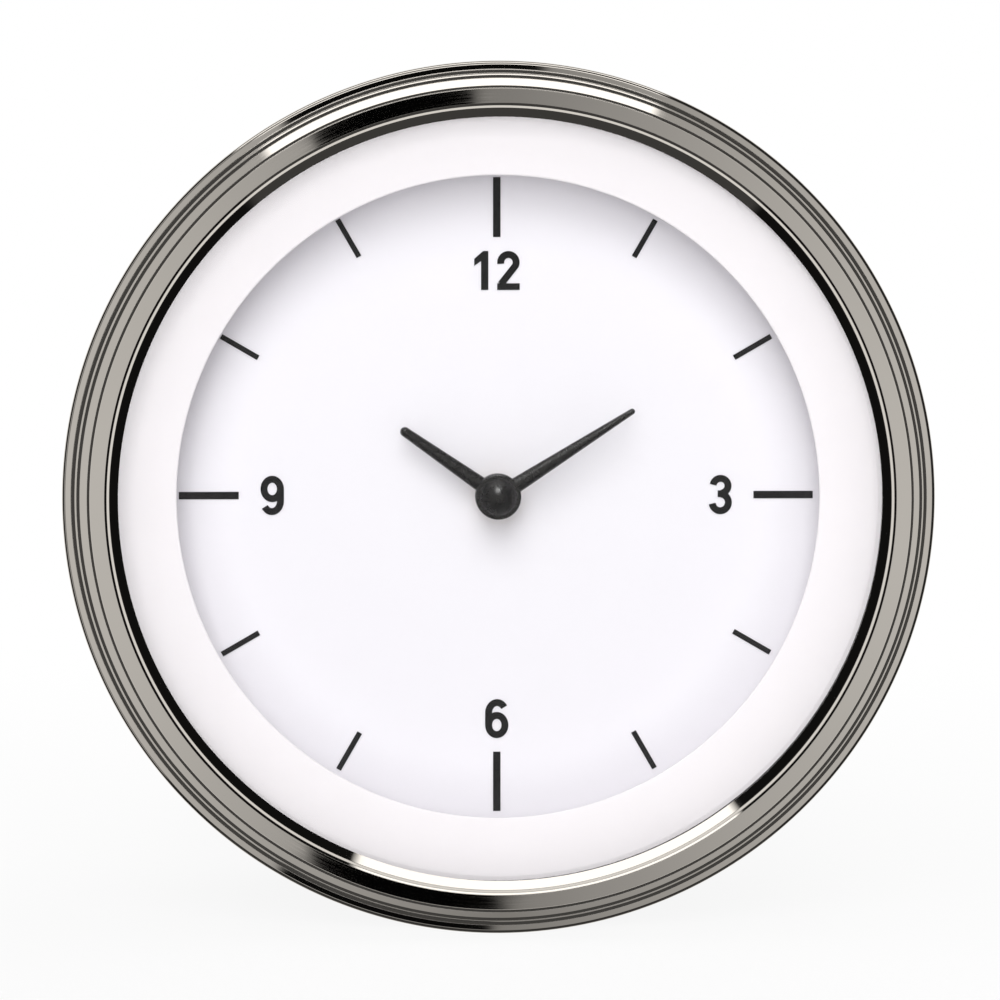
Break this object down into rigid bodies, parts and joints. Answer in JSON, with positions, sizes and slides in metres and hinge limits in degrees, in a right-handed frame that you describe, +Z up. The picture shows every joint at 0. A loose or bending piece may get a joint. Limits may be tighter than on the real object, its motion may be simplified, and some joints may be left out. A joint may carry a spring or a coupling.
{
  "type": "dashboard clock",
  "caption": "Round white-faced panel clock with stepped polished bezel, geared hour and minute hands, rear setting knob and a U-clamp drawn up by thumb nuts.",
  "frame": {"origin": "on the clock's axis, in the plane of the bezel's rear seat, which lies on the front of the panel", "axes": "+Y from the dial to the rear, +Z up towards twelve o'clock, +X towards three o'clock"},
  "size_m": [0.0604, 0.0676, 0.0604],
  "materials": {
    "bezel_polished": "polished",
    "lens_glass": "clear polished",
    "gasket_rubber": "matte",
    "ring_white": "satin",
    "dial_white": "matte",
    "print_black": "printed ink",
    "hand_black": "satin",
    "case_black": "fine grain",
    "plate_brass": "brushed",
    "gear_brass": "cut",
    "arbor_steel": "turned",
    "magnet_dark": "sintered",
    "bobbin_plastic": "satin",
    "winding_copper": "enamelled copper wire",
    "board_green": "solder mask",
    "lamp_lens": "clear",
    "pin_brass": "tinned",
    "chip_black": "moulded",
    "can_metal": "drawn",
    "capacitor_sleeve": "shrink sleeve",
    "zinc_steel": "zinc plated",
    "nut_brass": "knurled"
  },
  "bodies": {
    "clock_body": {"bezel": "bezel_polished", "lens": "lens_glass", "lens_gasket": "gasket_rubber", "spacer_ring": "ring_white", "lamp_board": "board_green", "lamps": "lamp_lens", "lamp_pins": "pin_brass", "dial": "dial_white", "hour_marks": "print_black", "numerals": "print_black", "dial_feet": "plate_brass", "foot_clips": "arbor_steel", "case": "case_black", "front_plate": "plate_brass", "pillars": "plate_brass", "rear_plate": "plate_brass", "plate_screws": "arbor_steel", "minute_wheel_post": "arbor_steel", "stator": "arbor_steel", "coil_core": "arbor_steel", "coil_bobbin": "bobbin_plastic", "coil_winding": "winding_copper", "motor_posts": "arbor_steel", "motor_pins": "pin_brass", "circuit_board": "board_green", "board_screws": "arbor_steel", "crystal_can": "can_metal", "timer_chip": "chip_black", "capacitor": "capacitor_sleeve", "regulator": "chip_black", "blade_terminals": "pin_brass", "terminal_block": "case_black", "mounting_studs": "zinc_steel", "jam_nuts": "zinc_steel", "stem_bush": "plate_brass"},
    "minute_body": {"minute_hand": "hand_black", "hand_cap": "hand_black", "center_arbor": "arbor_steel", "center_wheel": "gear_brass", "cannon_pinion": "arbor_steel"},
    "hour_body": {"hour_hand": "hand_black", "hour_wheel": "gear_brass"},
    "motion_body": {"minute_wheel": "gear_brass", "minute_pinion": "arbor_steel"},
    "third_body": {"third_wheel": "gear_brass", "third_pinion": "arbor_steel"},
    "rotor_body": {"rotor_magnet": "magnet_dark", "rotor_pinion": "arbor_steel"},
    "set_body": {"set_stem": "arbor_steel", "set_pinion": "arbor_steel", "set_knob": "case_black"},
    "clamp_body": {"clamp": "zinc_steel", "lock_washers": "zinc_steel"},
    "left_nut_body": {"left_nut": "nut_brass"},
    "right_nut_body": {"right_nut": "nut_brass"}
  },
  "joints": [
    {"name": "minute_turn", "type": "hinge", "parent": "clock_body", "child": "minute_body", "pos_m": [0, 0, 0], "axis": [0, 1, 0], "continuous": true},
    {"name": "hour_turn", "type": "hinge", "parent": "clock_body", "child": "hour_body", "pos_m": [0, 0, 0], "axis": [0, 1, 0], "continuous": true},
    {"name": "motion_turn", "type": "hinge", "parent": "clock_body", "child": "motion_body", "pos_m": [0, 0, 0.006], "axis": [0, 1, 0], "continuous": true},
    {"name": "third_turn", "type": "hinge", "parent": "clock_body", "child": "third_body", "pos_m": [0, 0, -0.0108], "axis": [0, 1, 0], "continuous": true},
    {"name": "rotor_turn", "type": "hinge", "parent": "clock_body", "child": "rotor_body", "pos_m": [0.00958, 0, -0.00731], "axis": [0, 1, 0], "continuous": true},
    {"name": "set_turn", "type": "hinge", "parent": "clock_body", "child": "set_body", "pos_m": [0, 0, 0.0123], "axis": [0, 1, 0], "continuous": true},
    {"name": "clamp_slide", "type": "slide", "parent": "clock_body", "child": "clamp_body", "axis": [0, 1, 0], "range_m": [-0.0053, 0.006]},
    {"name": "left_nut_turn", "type": "hinge", "parent": "clamp_body", "child": "left_nut_body", "pos_m": [-0.014, 0, 0], "axis": [0, 1, 0], "range_deg": [-2730, 3090]},
    {"name": "right_nut_turn", "type": "hinge", "parent": "clamp_body", "child": "right_nut_body", "pos_m": [0.014, 0, 0], "axis": [0, 1, 0], "range_deg": [-2730, 3090]}
  ],
  "couplings": [
    {"joint": "hour_turn", "follows": "minute_turn", "ratio": 0.083333},
    {"joint": "motion_turn", "follows": "minute_turn", "ratio": -0.33333},
    {"joint": "third_turn", "follows": "minute_turn", "ratio": -8},
    {"joint": "rotor_turn", "follows": "minute_turn", "ratio": 60},
    {"joint": "set_turn", "follows": "minute_turn", "ratio": 0.83333},
    {"joint": "left_nut_turn", "follows": "clamp_slide", "rad_per_m": 8976},
    {"joint": "right_nut_turn", "follows": "clamp_slide", "rad_per_m": 8976}
  ]
}
